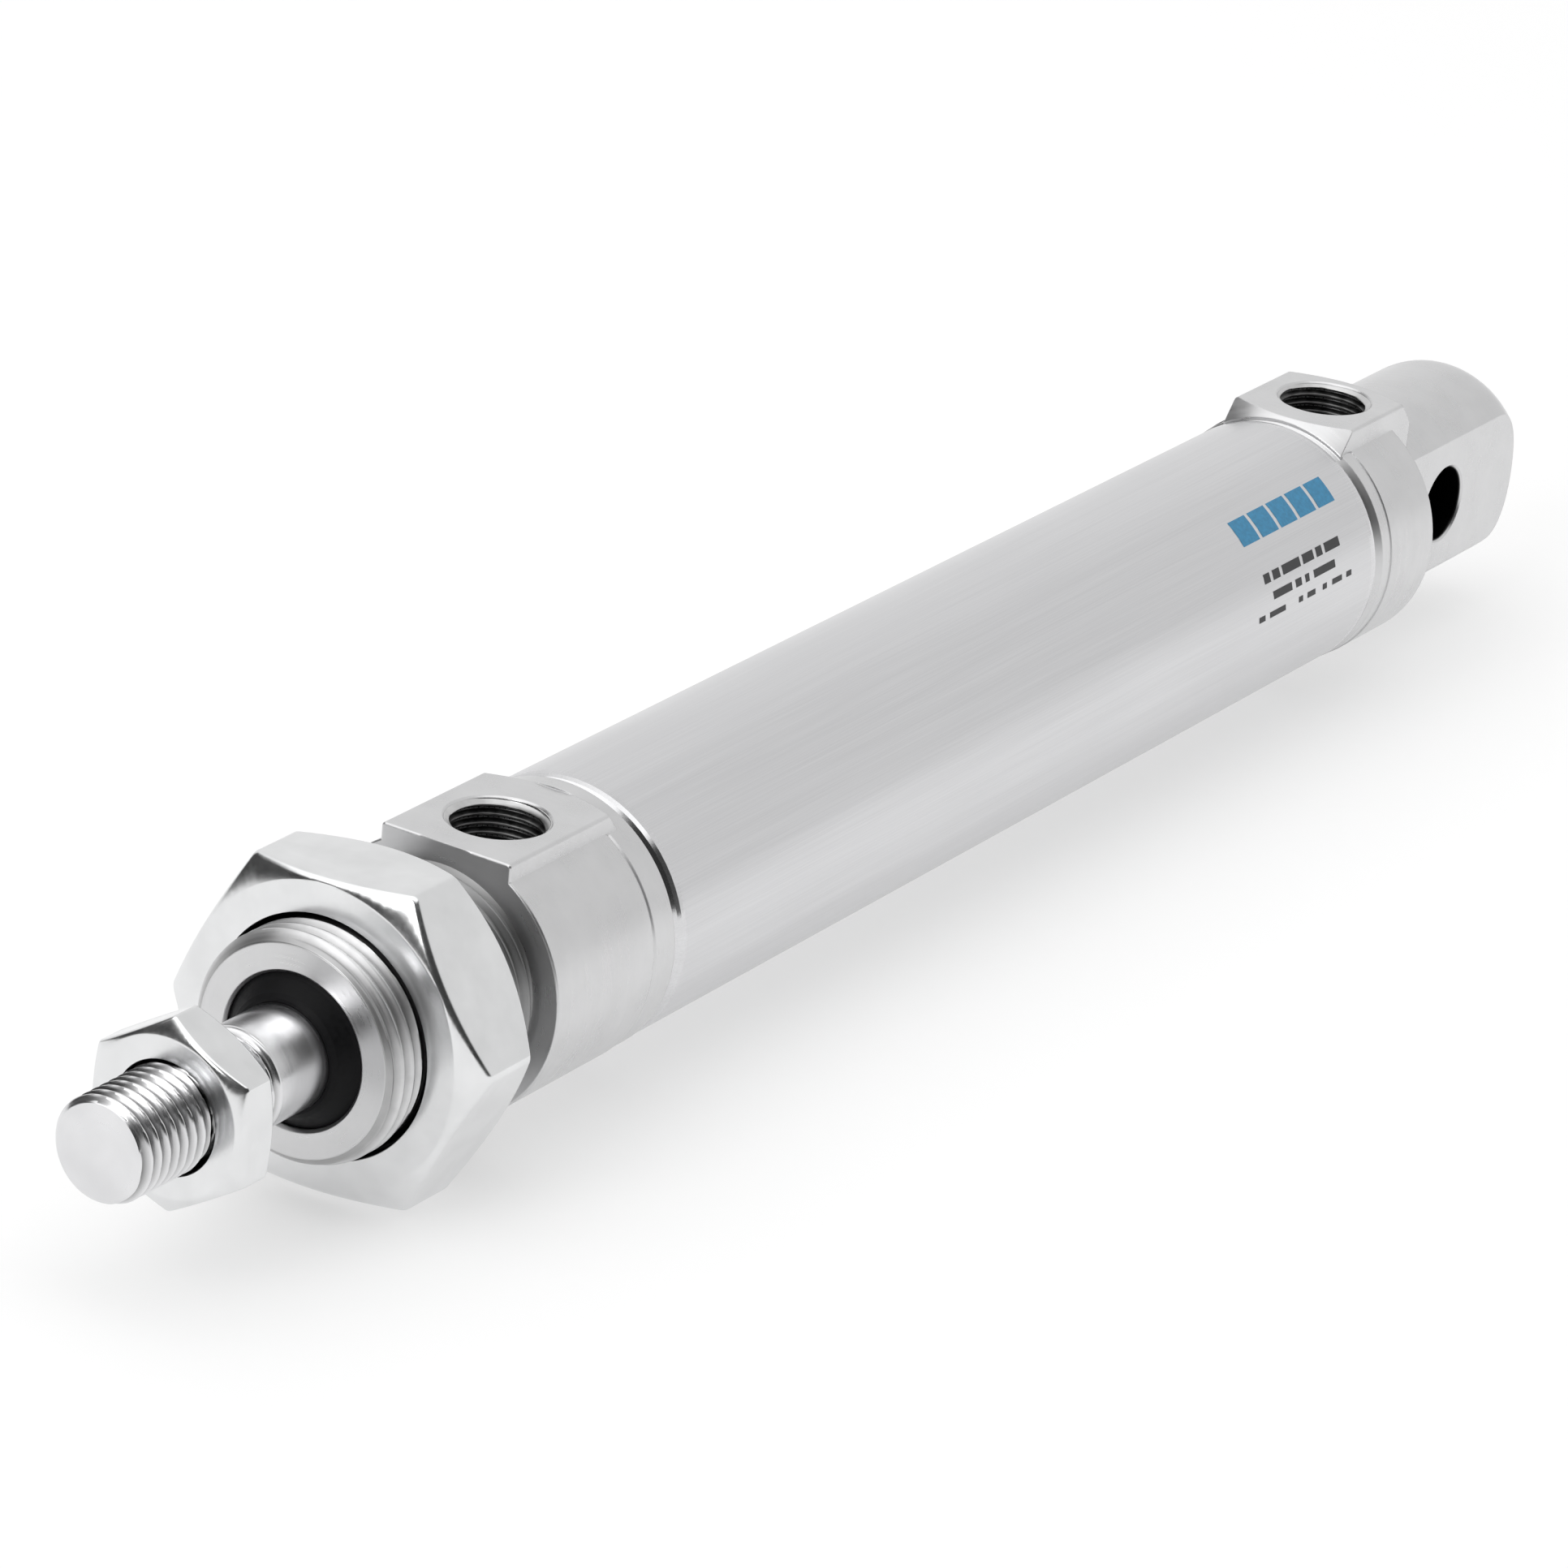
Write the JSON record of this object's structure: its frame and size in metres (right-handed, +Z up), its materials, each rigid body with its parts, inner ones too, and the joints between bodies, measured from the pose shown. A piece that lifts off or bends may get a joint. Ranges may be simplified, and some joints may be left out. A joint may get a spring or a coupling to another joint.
{
  "type": "pneumatic cylinder",
  "caption": "Round double-acting air cylinder with a threaded collar and nut at the rod end, threaded rod nose with lock nut, air ports on top and a rear pivot eye.",
  "frame": {"origin": "centre of the rear pivot eye's bore", "axes": "+X along the cylinder's axis towards the rod end, +Z up through the two air ports, Y along the rear eye's bore"},
  "size_m": [0.2422, 0.0346, 0.0308],
  "materials": {
    "tube": "fine satin, drawn along the axis",
    "cap": "light satin, turned",
    "nut": "bright zinc plate",
    "rod": "ground and polished",
    "bush": "sintered bronze",
    "seal": "moulded, satin black",
    "o_ring": "moulded black",
    "cushion": "moulded, matt",
    "guide": "matt",
    "piston": "turned",
    "magnet": "plastic-bonded ferrite",
    "small_steel": "plain"
  },
  "bodies": {
    "barrel": {"barrel_tube": "tube", "bearing_cap": "cap", "end_cap": "cap", "rod_bearing_bush": "bush", "rod_wiper_seal": "seal", "rod_seal": "seal", "front_cap_o_ring": "o_ring", "rear_cap_o_ring": "o_ring", "front_cushion_ring": "cushion", "rear_cushion_ring": "cushion", "collar_nut": "nut"},
    "piston_rings": {"piston_guide_ring": "guide", "front_piston_seal": "seal", "rear_piston_seal": "seal"},
    "rod": {"piston_rod": "rod", "rod_nut": "nut", "piston_front_half": "piston", "piston_rear_half": "piston", "piston_magnet": "magnet", "piston_o_ring": "o_ring", "piston_washer": "small_steel", "piston_nut": "small_steel"}
  },
  "joints": [
    {"name": "rod_slide", "type": "slide", "parent": "barrel", "child": "piston_rings", "axis": [1, 0, 0], "range_m": [0, 0.1]},
    {"name": "rod_turn", "type": "hinge", "parent": "piston_rings", "child": "rod", "pos_m": [0, 0, 0], "axis": [1, 0, 0], "continuous": true}
  ]
}
